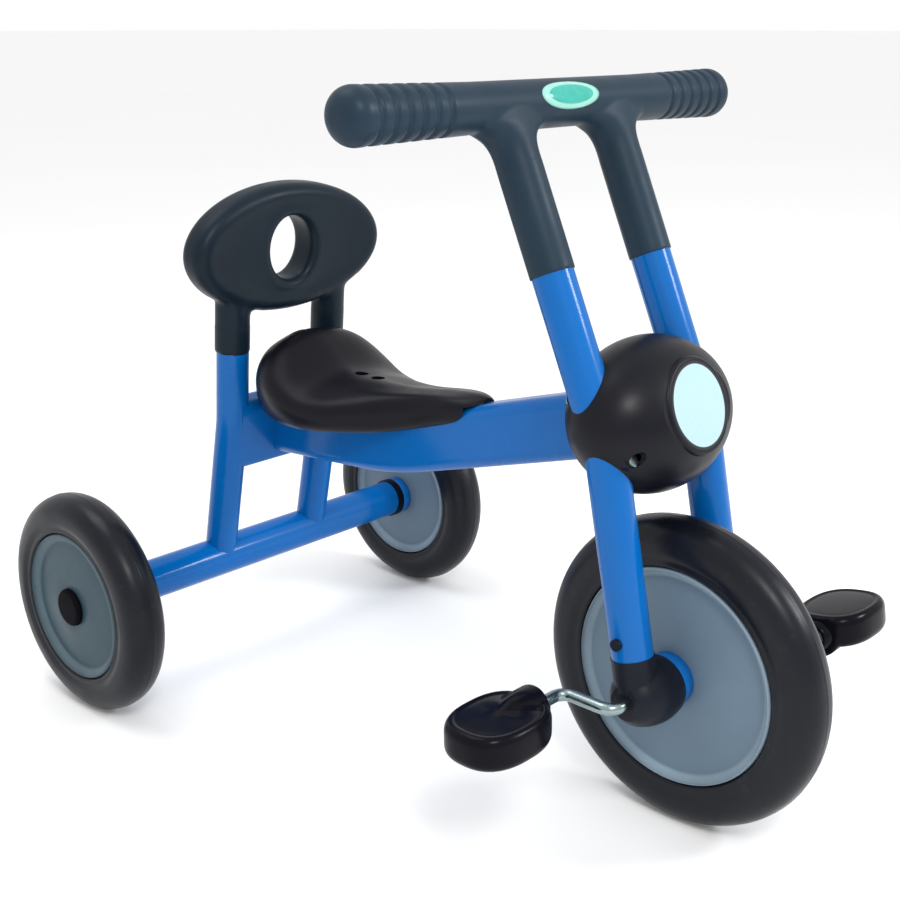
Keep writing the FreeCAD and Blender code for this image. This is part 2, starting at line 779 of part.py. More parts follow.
def make_steering_head():
    bush_radius = head_tube_radius - head_tube_wall
    half_head = head_tube_length / 2
    crown_start = half_head + bush_flange
    crown_end = crown_start + crown_thickness
    axis_point = Vector(0, head_offset, 0)
    up = Vector(0, 0, 1)
    bore = rod(axis_point - up * crown_end, axis_point + up * crown_end, steering_bolt_radius + running_fit)
    hole = rod(axis_point - up * crown_end, axis_point + up * crown_end, steering_bolt_radius)
    for name, sign in (("upper", 1), ("lower", -1)):
        face = axis_point + up * (sign * half_head)
        flange = rod(face, face + up * (sign * (bush_flange - side_play)), bush_flange_radius)
        plug = rod(face - up * (sign * head_bush_depth), face, bush_radius)
        export("steering_bush_" + name, at_head(flange.fuse(plug).removeSplitter().cut(bore)))
        plate_base = sign * crown_start if sign > 0 else -crown_end
        half_span = fork_spacing / 2
        outline = [
            Vector(-half_span, -crown_half_depth, plate_base),
            Vector(half_span, -crown_half_depth, plate_base),
            Vector(half_span, crown_half_depth, plate_base),
            Vector(crown_half_depth, head_offset, plate_base),
            Vector(-crown_half_depth, head_offset, plate_base),
            Vector(-half_span, crown_half_depth, plate_base),
            Vector(-half_span, -crown_half_depth, plate_base),
        ]
        plate = Part.Face(Part.makePolygon(outline)).extrude(up * crown_thickness)
        eye_base = axis_point + up * plate_base
        eye = rod(eye_base, eye_base + up * crown_thickness, crown_half_depth)
        plate = at_head(plate.fuse(eye).cut(hole))
        for side in (1, -1):
            plate = plate.cut(fork_outers[side])
        export("crown_plate_" + name, plate)
    bolt_end = axis_point - up * (crown_end + bolt_head_height)
    bolt = rod(bolt_end, axis_point + up * crown_end, steering_bolt_radius)
    head = hexagon(bolt_head_flats, bolt_head_height, axis_point + up * crown_end, up)
    nut = hexagon(bolt_head_flats, bolt_head_height, bolt_end, up).cut(bolt)
    export("steering_bolt", at_head(bolt.fuse(head)))
    export("steering_nut", at_head(nut))


# ---- Handlebar -----------------------------------------------------------------------
def make_handlebar():
    core = x_rod(-bar_core_half_length, bar_core_half_length, bar_core_radius, bar_centre)
    core_bore = x_rod(-bar_core_half_length, bar_core_half_length, bar_core_radius - tube_wall, bar_centre)
    bar = x_rod(-grip_start, grip_start, bar_radius, bar_centre)
    for name, side in SIDES:
        start = bar_centre + Vector(side * grip_start, 0, 0)
        grip_length = bar_half_length - grip_start
        grip = Part.makeCone(bar_radius, grip_radius, grip_length, start, Vector(side, 0, 0))
        rims = [edge for edge in grip.Edges if abs(abs(edge.BoundBox.Center.x) - bar_half_length) < 0.01]
        bar = bar.fuse(grip.makeFillet(bar_end_round, rims))
    cover = bar
    down = leaning(riser_tilt) * -sleeve_length
    sleeve_radius = fork_tube_radius + sleeve_wall
    for side in (1, -1):
        top = bar_centre + Vector(side * fork_spacing / 2, 0, 0)
        cover = cover.fuse(rod(top, top + down, sleeve_radius))
    joints = []
    for edge in cover.Edges:
        box = edge.BoundBox
        near_stem = abs(abs(box.Center.x) - fork_spacing / 2) < sleeve_edge_margin
        under_bar = box.ZMin > bar_centre.z - 2 * bar_radius
        if near_stem and under_bar and sleeve_edge_margin < box.ZLength < 2 * bar_radius:
            joints.append(edge)
    cover = cover.makeFillet(sleeve_blend, joints)
    for side in (1, -1):
        for index in range(groove_count):
            x = side * (bar_half_length - groove_first - index * groove_pitch)
            share = (abs(x) - grip_start) / (bar_half_length - grip_start)
            ring_radius = bar_radius + grip_swell * share + groove_lift
            groove = Part.makeTorus(ring_radius, groove_radius, Vector(x, 0, 0), Vector(1, 0, 0))
            groove.translate(bar_centre)
            cover = cover.cut(groove)
    cover = cover.cut(core)
    for name, side in SIDES:
        cover = cover.cut(fork_outers[side])
    oval = Part.Ellipse(Vector(0, 0, 0), badge_half_width, badge_half_height).toShape()
    prism = Part.Face(Part.Wire(oval)).extrude(Vector(0, 0, 2 * bar_radius))
    turn = FreeCAD.Rotation(Vector(1, 0, 0), 90 - badge_tilt)
    prism.Placement = FreeCAD.Placement(bar_centre, turn)
    skin_outer = bar_radius + badge_thickness
    skin_inner = bar_radius - badge_thickness
    skin = x_ring(-badge_half_width, badge_half_width, skin_outer, skin_inner, bar_centre)
    badge = prism.common(skin)
    export("handlebar_badge", badge)
    export("handlebar_cover", cover.cut(badge))
    export("handlebar_tube", core.cut(core_bore))


def make_fork_tubes():
    core = x_rod(-bar_core_half_length, bar_core_half_length, bar_core_radius, bar_centre)
    for name, side in SIDES:
        fork_tube = fork_outers[side].cut(fork_tube_envelope(side, fork_tube_bore)).cut(core)
        fork_tube = fork_tube.cut(housing_screw(side))
        for facing in (-1, 1):
            fork_tube = fork_tube.cut(cover_screw(side, facing))
        export("fork_tube_" + name, fork_tube)


# ---- Backrest ------------------------------------------------------------------------
def backrest_screw(side):
    """A screw through the back of a backrest sleeve into its upright."""
    point = upright_point(backrest_screw_height) + Vector(side * upright_spacing / 2, 0, 0)
    back = Vector(0, math.cos(math.radians(upright_upper_tilt)), math.sin(math.radians(upright_upper_tilt)))
    seat = point + back * (upright_radius + backrest_sleeve_wall)
    shank = rod(point + back * (upright_radius / 2), seat, screw_radius)
    return shank.fuse(rod(seat, seat + back * screw_head_height, screw_head_radius))


def oval_plate(half_width, half_height, thickness):
    """An elliptic plate in the XZ plane, centred on the origin."""
    origin = Vector(0, 0, 0)
    long_half = max(half_width, half_height)
    short_half = min(half_width, half_height)
    outline = Part.Wire(Part.Ellipse(origin, long_half, short_half).toShape())
    plate = Part.Face(outline).extrude(Vector(0, 0, thickness))
    plate.translate(Vector(0, 0, -thickness / 2))
    if half_height > half_width:
        plate = plate.rotated(origin, Vector(0, 0, 1), 90)
    return plate.rotated(origin, Vector(1, 0, 0), 90)


def make_backrest():
    curve_centre = Vector(0, -backrest_curve, 0)
    half_height = Vector(0, 0, 2 * backrest_half_height)
    inner_radius = backrest_curve - backrest_thickness / 2
    slab = rod(curve_centre - half_height, curve_centre + half_height, inner_radius + backrest_thickness)
    slab = slab.cut(rod(curve_centre - half_height, curve_centre + half_height, inner_radius))
    plate = slab.common(oval_plate(backrest_half_width, backrest_half_height, 4 * backrest_thickness))
    rims = [edge for edge in plate.Edges if edge.BoundBox.YLength < backrest_thickness / 2]
    plate = plate.makeFillet(backrest_round, rims)
    plate = plate.cut(oval_plate(hand_hole_half_width, hand_hole_half_height, 4 * backrest_thickness))
    rims = [edge for edge in plate.Edges if edge.BoundBox.XMax < hand_hole_half_width + 0.1]
    rims = [edge for edge in rims if edge.BoundBox.YLength < backrest_thickness / 2]
    plate = at_backrest(plate.makeFillet(hand_hole_round, rims))
    screws = []
    for name, side in SIDES:
        shift = Vector(side * upright_spacing / 2, 0, 0)
        sleeve = rod(
            upright_point(backrest_sleeve_end) + shift,
            upright_point(backrest_centre) + shift,
            upright_radius + backrest_sleeve_wall,
        )
        plate = plate.fuse(sleeve)
    for name, side in SIDES:
        screw = backrest_screw(side)
        plate = plate.cut(upright_outers[side]).cut(screw)
        screws.append(screw)
    export("backrest", plate)
    export("backrest_screws", *screws)


# ---- Seat ----------------------------------------------------------------------------
# Sections from the back to the nose. The first number is the share of the seat's length from its
# back. The underside, shoulder and crown are heights above the beam's upper face.
seat_front = -34.0
seat_back = upright_point(cross_centre_height + cross_height).y - upright_radius - seat_back_gap
seat_sections = (
    # share, half width, underside, shoulder, crown
    (0.00, 36.0, -4.0, 30.0, 47.0),
    (0.05, 44.0, -4.0, 44.0, 54.0),
    (0.16, 56.0, -5.5, 46.0, 57.5),
    (0.31, 57.0, -8.0, 25.0, 33.5),
    (0.445, 47.5, -8.5, 19.5, 27.5),
    (0.59, 30.0, -9.5, 18.0, 21.8),
    (0.76, 20.5, -10.0, 12.5, 15.6),
    (0.88, 18.5, -10.0, 8.5, 11.5),
    (0.95, 15.0, -10.0, 4.5, 8.0),
    (1.00, 7.0, -8.0, 0.5, 3.5),
)
# Shares of a section's half width: where the crown falls away, the shoulder, the lowest part of
# the side, the hem's corner and its inner point.
crown_share = 0.45
shoulder_share = 0.78
side_share = 0.97
hem_share = 0.82
hem_inner_share = 0.4
side_upper_share = 0.45
side_lower_share = 0.55


def seat_section(share, half_width, underside, shoulder, crown, inset):
    """A closed smooth section of the saddle at one place along its length."""
    y = seat_back + (seat_front - seat_back) * share
    base = beam_top(y)
    width = half_width - inset
    low = base + underside - inset
    edge = base + shoulder - inset
    top = base + crown - inset
    middle = (low + edge) / 2
    right_side = [
        Vector(0, y, top),
        Vector(width * crown_share, y, (2 * top + edge) / 3),
        Vector(width * shoulder_share, y, edge),
        Vector(width, y, middle + (edge - middle) * side_upper_share),
        Vector(width * side_share, y, middle - (middle - low) * side_lower_share),
        Vector(width * hem_share, y, low),
        Vector(width * hem_inner_share, y, low),
    ]
    left_side = [Vector(-point.x, point.y, point.z) for point in reversed(right_side[1:])]
    curve = Part.BSplineCurve()
    curve.interpolate(right_side + left_side, PeriodicFlag=True)
    return Part.Wire(curve.toShape())


def seat_screw_shank(screw_y):
    top = Vector(0, screw_y, beam_top(screw_y) + seat_wall)
    return rod(top - Vector(0, 0, seat_screw_grip), top, seat_screw_radius)


def below_beam_top(half_width):
    """The space below the beam's upper face, as deep as the seat reaches."""
    front = Vector(0, seat_front - seat_channel_depth, beam_top(seat_front - seat_channel_depth))
    back = Vector(0, seat_back + seat_channel_depth, beam_top(seat_back + seat_channel_depth))
    slopes = (beam_front_slope, (beam_front_slope + beam_rear_slope) / 2, beam_rear_slope)
    bend = [beam_top_touch(slope) for slope in slopes]
    down = Vector(0, 0, -seat_channel_depth)
    edges = [
        Part.LineSegment(front, bend[0]).toShape(),
        Part.Arc(*bend).toShape(),
        Part.LineSegment(bend[2], back).toShape(),
        Part.LineSegment(back, back + down).toShape(),
        Part.LineSegment(back + down, front + down).toShape(),
        Part.LineSegment(front + down, front).toShape(),
    ]
    space = Part.Face(Part.Wire(edges)).extrude(Vector(2 * half_width, 0, 0))
    return space.translated(Vector(-half_width, 0, 0))


def make_seat():
    outer = Part.makeLoft([seat_section(*row, 0) for row in seat_sections], True, False)
    inner_rows = seat_sections[1:-1]
    cavity = Part.makeLoft([seat_section(*row, seat_wall) for row in inner_rows], True, False)
    seat = outer.cut(cavity)
    screws = []
    for screw_y in seat_screw_y:
        base = Vector(0, screw_y, beam_top(screw_y) - beam_wall)
        seat = seat.fuse(rod(base, base + Vector(0, 0, seat_top_reach), seat_boss_radius).common(outer))
    for screw_y in seat_screw_y:
        seat_level = Vector(0, screw_y, beam_top(screw_y) + seat_wall)
        head = rod(seat_level, seat_level + Vector(0, 0, seat_screw_head_height), seat_screw_head_radius)
        access = rod(seat_level, seat_level + Vector(0, 0, seat_top_reach), seat_recess)
        screw = seat_screw_shank(screw_y).fuse(head)
        seat = seat.cut(access).cut(screw)
        screws.append(screw)
    ahead = Part.makeBox(2 * seat_channel_depth, seat_channel_depth, 4 * seat_channel_depth)
    ahead.translate(Vector(-seat_channel_depth, seat_skirt_front - seat_channel_depth, beam_nose.z / 2))
    seat = seat.cut(below_beam_top(beam_width / 2 + seat_channel_fit))
    seat = seat.cut(below_beam_top(seat_channel_depth).common(ahead))
    export("seat", seat)
    export("seat_screws", *screws)


os.makedirs("parts", exist_ok=True)
make_frame()
make_rear_axle()
make_rear_wheels()
make_front_wheel()
make_pedals()
make_hub_housings()
make_head_cover()
make_steering_head()
make_handlebar()
make_fork_tubes()
make_backrest()
make_seat()
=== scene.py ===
import json
import math

import bmesh
import bpy
from mathutils import Matrix, Vector


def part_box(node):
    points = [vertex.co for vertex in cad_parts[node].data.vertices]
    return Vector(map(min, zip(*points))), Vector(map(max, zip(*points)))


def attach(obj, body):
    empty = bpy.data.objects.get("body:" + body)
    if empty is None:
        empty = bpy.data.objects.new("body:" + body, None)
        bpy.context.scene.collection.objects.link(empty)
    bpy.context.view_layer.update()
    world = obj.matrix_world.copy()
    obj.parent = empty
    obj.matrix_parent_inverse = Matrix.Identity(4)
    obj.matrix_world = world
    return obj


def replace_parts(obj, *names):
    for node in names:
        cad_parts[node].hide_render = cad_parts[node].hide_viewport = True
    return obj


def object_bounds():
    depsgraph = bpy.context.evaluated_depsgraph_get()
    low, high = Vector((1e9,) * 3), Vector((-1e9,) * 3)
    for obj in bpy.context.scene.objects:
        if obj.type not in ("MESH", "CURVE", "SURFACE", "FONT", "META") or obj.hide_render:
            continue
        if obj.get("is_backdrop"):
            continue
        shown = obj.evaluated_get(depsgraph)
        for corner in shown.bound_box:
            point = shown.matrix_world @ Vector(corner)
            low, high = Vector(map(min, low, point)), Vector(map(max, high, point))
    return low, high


# The looks of a children's pedal tricycle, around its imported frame. Metres, +Z up, -Y forward,
# +X to the rider's left. Places and sizes come from the frame's nodes.
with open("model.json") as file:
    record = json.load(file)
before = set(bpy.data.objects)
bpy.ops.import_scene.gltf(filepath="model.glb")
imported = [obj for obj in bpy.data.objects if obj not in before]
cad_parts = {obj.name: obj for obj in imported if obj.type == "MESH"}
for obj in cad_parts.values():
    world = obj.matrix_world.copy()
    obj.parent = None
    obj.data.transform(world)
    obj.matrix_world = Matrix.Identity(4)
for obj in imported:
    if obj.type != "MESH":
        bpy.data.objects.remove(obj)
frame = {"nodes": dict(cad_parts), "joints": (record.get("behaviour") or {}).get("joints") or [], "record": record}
cad_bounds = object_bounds()
nodes = frame["nodes"]
joints = {joint["name"]: joint for joint in frame["joints"]}
mounts = {mount["name"]: mount for mount in frame["record"]["mounts"]}

MM = 0.001
SIDES = (("left", 1), ("right", -1))


# ---- Measures of the frame -------------------------------------------------------------
def middle(node):
    low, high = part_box(node)
    return (low + high) / 2


def radius_of(node):
    low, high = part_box(node)
    return (high.z - low.z) / 2


def reach_of(node, centre, facing):
    """How near and how far a node reaches along X from the centre, the way that it faces."""
    ends = [facing * (corner.x - centre.x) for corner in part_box(node)]
    return min(ends), max(ends)


def joint_point(name):
    return Vector(joints[name]["pos_m"])


front_axle = joint_point("front_wheel_spin")
rear_axles = {name: joint_point("rear_wheel_%s_spin" % name) for name, side in SIDES}


# ---- Material nodes ----------------------------------------------------------------------
class Shader:
    """A principled material whose colour, roughness and bump come from object coordinates."""

    def __init__(self, name, colour, roughness, metallic=0.0, coat=0.0, coat_roughness=0.1, specular=0.5):
        self.material = bpy.data.materials.new(name)
        self.material.use_nodes = True
        self.tree = self.material.node_tree
        self.shader = self.tree.nodes["Principled BSDF"]
        self.shader.inputs["Base Color"].default_value = (*colour, 1)
        self.shader.inputs["Roughness"].default_value = roughness
        self.shader.inputs["Metallic"].default_value = metallic
        self.shader.inputs["Coat Weight"].default_value = coat
        self.shader.inputs["Coat Roughness"].default_value = coat_roughness
        self.shader.inputs["Specular IOR Level"].default_value = specular
        self.place = self.node("ShaderNodeTexCoord").outputs["Object"]
        self.colour = None
        self.height = None

    def node(self, kind, **settings):
        made = self.tree.nodes.new(kind)
        for key, value in settings.items():
            setattr(made, key, value)
        return made

    def link(self, source, target):
        self.tree.links.new(source, target)

    def product(self, first, second):
        made = self.node("ShaderNodeMath", operation="MULTIPLY")
        self.link(first, made.inputs[0])
        self.link(second, made.inputs[1])
        return made.outputs[0]

    def ramp(self, source, low, high, start=0.0, end=1.0):
        """A number that goes from start to end as the source goes from low to high."""
        made = self.node("ShaderNodeMapRange")
        self.link(source, made.inputs["Value"])
        for key, given in (("From Min", low), ("From Max", high), ("To Min", start), ("To Max", end)):
            made.inputs[key].default_value = given
        return made.outputs["Result"]

    def noise(self, scale, detail=2.0, roughness=0.5, stretch=(1, 1, 1)):
        mapping = self.node("ShaderNodeMapping")
        mapping.inputs["Scale"].default_value = stretch
        self.link(self.place, mapping.inputs["Vector"])
        made = self.node("ShaderNodeTexNoise")
        made.inputs["Scale"].default_value = scale
        made.inputs["Detail"].default_value = detail
        made.inputs["Roughness"].default_value = roughness
        self.link(mapping.outputs["Vector"], made.inputs["Vector"])
        return made.outputs["Fac"]

    def cells(self, scale):
        made = self.node("ShaderNodeTexVoronoi")
        made.inputs["Scale"].default_value = scale
        self.link(self.place, made.inputs["Vector"])
        return made.outputs["Distance"]

    def distance_from(self, point):
        made = self.node("ShaderNodeVectorMath", operation="DISTANCE")
        self.link(self.place, made.inputs[0])
        made.inputs[1].default_value = point
        return made.outputs["Value"]

    def tint(self, mask, colour, share=None):
        """Mix another colour in where the mask is high, by up to a share if one is given."""
        mix = self.node("ShaderNodeMix", data_type="RGBA")
        factor, before, after = mix.inputs[0], mix.inputs[6], mix.inputs[7]
        if self.colour is None:
            before.default_value = self.shader.inputs["Base Color"].default_value
        else:
            self.link(self.colour, before)
        after.default_value = (*colour, 1)
        self.link(mask if share is None else self.ramp(mask, 0, 1, 0, share), factor)
        self.colour = mix.outputs[2]
        self.link(self.colour, self.shader.inputs["Base Color"])

    def rough(self, mask, low, high):
        """Let the roughness go from low to high with a mask from 0 to 1."""
        self.link(self.ramp(mask, 0, 1, low, high), self.shader.inputs["Roughness"])

    def bump(self, height, strength, distance):
        made = self.node("ShaderNodeBump")
        made.inputs["Strength"].default_value = strength
        made.inputs["Distance"].default_value = distance
        self.link(height, made.inputs["Height"])
        if self.height is not None:
            self.link(self.height, made.inputs["Normal"])
        self.height = made.outputs["Normal"]
        self.link(self.height, self.shader.inputs["Normal"])


def smudges(made, scale):
    """A soft uneven mask, from 0 to 1."""
    return made.ramp(made.noise(scale, detail=4.0, roughness=0.6), 0.35, 0.68)


def scuffs(made, scale, stretch=(1, 1, 1), low=0.62, high=0.74):
    """A sparse mask of short rubbed marks."""
    return made.ramp(made.noise(scale, detail=3.0, roughness=0.55, stretch=stretch), low, high)


# ---- Materials ----------------------------------------------------------------------------
# The dark print round the pale disc fades in between these two distances from the disc's edge.
print_start = 1.9 * MM
print_full = 1.6 * MM


def powder_coat():
    made = Shader(
        "blue_powder_coat", (0.0002, 0.100, 0.355), 0.3, coat=0.34, coat_roughness=0.12, specular=0.06
    )
    made.tint(smudges(made, 6.0), (0.0006, 0.114, 0.395), share=0.4)
    made.tint(scuffs(made, 60.0, (1, 1, 0.25), 0.66, 0.76), (0.04, 0.22, 0.55), share=0.08)
    made.rough(smudges(made, 22.0), 0.25, 0.38)
    made.bump(made.noise(520.0), strength=0.10, distance=0.2 * MM)
    made.bump(made.noise(60.0, detail=1.0), strength=0.05, distance=0.4 * MM)
    return made.material


def moulded(name, colour, roughness, grain, grain_strength, specular):
    """A moulded plastic with a fine grain, paler in worn patches and uneven in its gloss."""
    made = Shader(name, colour, roughness, specular=specular)
    worn = [part * 1.7 + 0.002 for part in colour]
    rubbed = [part * 2.2 + 0.008 for part in colour]
    made.tint(smudges(made, 9.0), worn, share=0.45)
    made.tint(scuffs(made, 220.0, (1, 0.4, 1), 0.66, 0.78), rubbed, share=0.16)
    made.rough(smudges(made, 26.0), roughness - 0.05, roughness + 0.08)
    made.bump(made.cells(grain), strength=grain_strength, distance=0.06 * MM)
    made.bump(made.noise(40.0), strength=0.05, distance=0.3 * MM)
    return made.material


def tyre_rubber():
    made = Shader("tyre_rubber", (0.0028, 0.0038, 0.0072), 0.34, specular=0.22)
    made.tint(smudges(made, 11.0), (0.0062, 0.0085, 0.014), share=0.5)
    made.tint(scuffs(made, 150.0), (0.030, 0.034, 0.042), share=0.2)
    made.rough(smudges(made, 30.0), 0.27, 0.42)
    made.bump(made.noise(1100.0), strength=0.10, distance=0.08 * MM)
    made.bump(made.noise(90.0), strength=0.05, distance=0.4 * MM)
    return made.material


def printed_disc():
    """The pale disc on the head cover, with a dark printed rim."""
    low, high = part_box("head_cover_disc")
    radius = (high.x - low.x) / 2
    made = Shader("printed_disc", (0.36, 0.52, 0.56), 0.3, coat=0.2, coat_roughness=0.1, specular=0.3)
    made.tint(smudges(made, 30.0), (0.32, 0.47, 0.52), share=0.4)
    edge = made.distance_from(middle("head_cover_disc"))
    made.tint(made.ramp(edge, radius - print_start, radius - print_full), (0.006, 0.007, 0.010))
    made.rough(smudges(made, 60.0), 0.25, 0.36)
    made.bump(made.noise(300.0, detail=1.0), strength=0.03, distance=0.2 * MM)
    return made.material


def badge_enamel():
    """The green enamel of the badge's field."""
    made = Shader("badge_enamel", (0.022, 0.30, 0.245), 0.2, coat=0.3, coat_roughness=0.06, specular=0.3)
    made.tint(smudges(made, 160.0), (0.040, 0.38, 0.31), share=0.6)
    made.rough(smudges(made, 60.0), 0.16, 0.26)
    made.bump(made.noise(400.0, detail=1.0), strength=0.03, distance=0.2 * MM)
    return made.material


def badge_rim():
    """The pale enamel of the badge's rim."""
    made = Shader("badge_rim", (0.22, 0.50, 0.42), 0.22, coat=0.3, coat_roughness=0.06, specular=0.3)
    made.tint(smudges(made, 200.0), (0.28, 0.56, 0.48), share=0.5)
    made.rough(smudges(made, 90.0), 0.18, 0.3)
    made.bump(made.noise(500.0, detail=1.0), strength=0.03, distance=0.2 * MM)
    return made.material


def zinc_steel():
    made = Shader("zinc_plated_steel", (0.27, 0.34, 0.35), 0.24, metallic=1.0)
    made.tint(smudges(made, 60.0), (0.20, 0.26, 0.27), share=0.6)
    made.tint(scuffs(made, 300.0, (0.15, 1, 1)), (0.14, 0.17, 0.17), share=0.5)
    made.rough(smudges(made, 80.0), 0.18, 0.34)
    made.bump(made.noise(900.0, stretch=(0.08, 1, 1)), strength=0.12, distance=0.06 * MM)
    return made.material


# For each black moulding: its colour, roughness, grain, strength of grain and specular level.
BLACKS = {
    "satin": ((0.0024, 0.0026, 0.0058), 0.38, 1900.0, 0.12, 0.18),
    "seat": ((0.0026, 0.0026, 0.0055), 0.34, 1300.0, 0.20, 0.14),
    "backrest": ((0.0038, 0.0092, 0.0158), 0.38, 1300.0, 0.20, 0.14),
    "grip": ((0.0105, 0.0230, 0.0370), 0.42, 1600.0, 0.16, 0.14),
    "housing": ((0.0055, 0.0070, 0.0130), 0.40, 1600.0, 0.16, 0.14),
    "matt": ((0.0020, 0.0018, 0.0036), 0.55, 1600.0, 0.20, 0.03),
    "glossy": ((0.0022, 0.0020, 0.0042), 0.20, 2200.0, 0.05, 0.08),
}
MOULDINGS = {name: moulded(name + "_black_plastic", *values) for name, values in BLACKS.items()}
BLUE = powder_coat()
RUBBER = tyre_rubber()
HUB = moulded("blue_hub_plastic", (0.0010, 0.122, 0.42), 0.34, 1500.0, 0.10, 0.3)
ZINC = zinc_steel()
ENAMEL = badge_enamel()
ENAMEL_RIM = badge_rim()


# ---- Mesh helpers ---------------------------------------------------------------------------
def add_piece(name, mesh, body, material):
    """A new visible piece that rides on a body."""
    mesh.shade_smooth()
    piece = bpy.data.objects.new(name, mesh)
    bpy.context.scene.collection.objects.link(piece)
    mesh.materials.clear()
    mesh.materials.append(material)
    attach(piece, body)
    return piece


def ring_faces(rings, steps, closed=False):
    """Quads between rings of points that follow one another, and round to the first if closed."""
    faces = []
    for ring in range(rings if closed else rings - 1):
        here, there = ring * steps, (ring + 1) % rings * steps
        for step in range(steps):
            after = (step + 1) % steps
            faces.append((here + step, here + after, there + after, there + step))
    return faces


def joined(shapes):
    """One list of points and faces from several."""
    points, faces = [], []
    for more_points, more_faces in shapes:
        start = len(points)
        points += more_points
        faces += [tuple(start + index for index in face) for face in more_faces]
    return points, faces


def soften(shape, vertices, rounds):
    for _ in range(rounds):
        bmesh.ops.smooth_vert(
            shape, verts=vertices, factor=0.5, use_axis_x=True, use_axis_y=True, use_axis_z=True
        )


def build_mesh(name, points, faces, weld=0.0, rounds=0):
    """A mesh with its normals outward. Points closer than weld become one before it is softened."""
    mesh = bpy.data.meshes.new(name)
    mesh.from_pydata(points, [], faces)
    shape = bmesh.new()
    shape.from_mesh(mesh)
    if weld:
        bmesh.ops.remove_doubles(shape, verts=shape.verts, dist=weld)
    bmesh.ops.recalc_face_normals(shape, faces=shape.faces)
    soften(shape, shape.verts, rounds)
    shape.to_mesh(mesh)
    shape.free()
    return mesh


def arc(centre, radius, start, end, steps):
    """Points (x, r) on an arc, with angles in degrees from the +r direction towards +x."""
    points = []
    for step in range(steps + 1):
        angle = math.radians(start + (end - start) * step / steps)
        points.append((centre[0] + radius * math.sin(angle), centre[1] + radius * math.cos(angle)))
    return points


def lathe(name, outline, centre, side, steps):
    """Turn a closed outline of (x, radius) points about the X axis through centre. side is -1 for
    the mirror image."""
    points = []
    for step in range(steps):
        angle = 2 * math.pi * step / steps
        for x, radius in outline:
            points.append(centre + Vector((side * x, radius * math.cos(angle), radius * math.sin(angle))))
    return build_mesh(name, points, ring_faces(steps, len(outline), closed=True))


def solid_tube(centres, halves, across, along, steps=64):
    """Points and faces of a closed tube with an elliptic section at each centre. halves are the
    half widths along the across and along directions."""
    points = []
    for centre, (first, second) in zip(centres, halves):
        for step in range(steps):
            angle = 2 * math.pi * step / steps
            points.append(centre + across * (first * math.cos(angle)) + along * (second * math.sin(angle)))
    faces = ring_faces(len(centres), steps)
    faces.append(tuple(range(steps)))
    faces.append(tuple(range((len(centres) - 1) * steps, len(centres) * steps)))
    return points, faces


def moulded_union(name, shapes, voxel, rounds, local_rounds, is_join):
    """The union of closed shapes as one skin. It is smoothed all over, and more where is_join."""
    rough = build_mesh(name + "_rough", *joined(shapes))
    holder = bpy.data.objects.new(name + "_rough", rough)
    bpy.context.scene.collection.objects.link(holder)
    remesh = holder.modifiers.new("remesh", "REMESH")
    remesh.mode = "VOXEL"
    remesh.voxel_size = voxel
    bpy.context.view_layer.update()
    graph = bpy.context.evaluated_depsgraph_get()
    mesh = bpy.data.meshes.new_from_object(holder.evaluated_get(graph))
    bpy.data.objects.remove(holder)
    bpy.data.meshes.remove(rough)
    mesh.name = name
    shape = bmesh.new()
    shape.from_mesh(mesh)
    soften(shape, shape.verts, rounds)
    soften(shape, [vertex for vertex in shape.verts if is_join(vertex.co)], local_rounds)
    shape.to_mesh(mesh)
    shape.free()
    return mesh


# ---- Tyres ------------------------------------------------------------------------------------
# The section's sides stand at least wall_share of the tyre's depth above the rim, and the two
# powers make its sides and crown fuller than an ellipse.
tyre_steps = 72
tyre_turns = 224
tyre_wall_share = 0.30
tyre_side_power = 0.92
tyre_crown_power = 0.74
tyre_seam_height = 0.25 * MM
tyre_seam_width = 0.9 * MM
tyre_face_inset = 1.6 * MM
# The bead beside the rim, from outside in: how far each point stands out from the face, and its
# height above the rim as a share of the depth. Then two points that tuck in under the rim.
tyre_bead = ((0.4 * MM, 0.20), (-0.1 * MM, 0.13), (0.5 * MM, 0.08), (-0.4 * MM, 0.015))
tyre_tuck = ((-2.0 * MM, 0.2 * MM), (-4.0 * MM, -1.6 * MM))


def tyre_outline(radius, rim, half_width):
    """A round tyre with a bead ridge, a fine side line and a low mould seam round the middle."""
    depth = radius - rim
    face = half_width - tyre_face_inset
    points = []
    for step in range(tyre_steps + 1):
        turn = math.pi * (step / tyre_steps - 0.5)
        across = math.sin(turn)
        x = half_width * math.copysign(abs(across) ** tyre_side_power, across)
        crown = max(0.0, math.cos(turn)) ** tyre_crown_power
        r = rim + depth * (tyre_wall_share + (1 - tyre_wall_share) * crown)
        points.append((x, r + tyre_seam_height * math.exp(-((x / tyre_seam_width) ** 2))))
    tail = [(face + out, rim + share * depth) for out, share in tyre_bead]
    tail += [(face + out, rim + rise) for out, rise in tyre_tuck]
    head = [(-x, r) for x, r in reversed(tail)]
    return head + points + tail


def make_tyre(node, rim_node, body, centre):
    low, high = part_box(node)
    outline = tyre_outline(radius_of(node), radius_of(rim_node), (high.x - low.x) / 2)
    mesh = lathe(node + "_rubber", outline, centre, 1, tyre_turns)
    tyre = add_piece(node + "_rubber", mesh, body, RUBBER)
    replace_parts(tyre, node)


